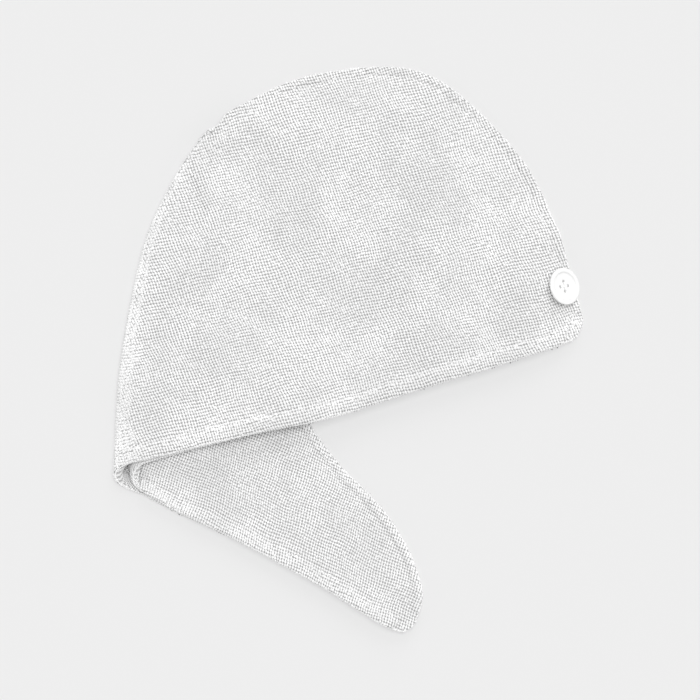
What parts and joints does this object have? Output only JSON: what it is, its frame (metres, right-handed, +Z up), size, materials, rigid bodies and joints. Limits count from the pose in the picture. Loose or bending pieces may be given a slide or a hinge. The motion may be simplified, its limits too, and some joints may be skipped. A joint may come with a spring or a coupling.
{
  "type": "hair turban towel",
  "caption": "White terry hair turban towel lying flat: domed hood open at the mouth, tapering tail folded under at one side, button at the nape.",
  "frame": {"origin": "on the surface that the towel lies on, below the middle of its outline", "axes": "+Z up from that surface, +Y from the tail's tip towards the crown, +X from the fold towards the nape"},
  "size_m": [0.3506, 0.4232, 0.026],
  "materials": {
    "terry": "white cotton terry, short looped pile in straight rows, matt",
    "button_plastic": "white polished plastic",
    "sewing_thread": "white spun thread",
    "elastic": "white flat elastic"
  },
  "bodies": {
    "root": {"outer_panel": "terry", "inner_panel": "terry", "button": "button_plastic", "button_thread": "sewing_thread", "elastic_loop": "elastic"}
  },
  "joints": []
}
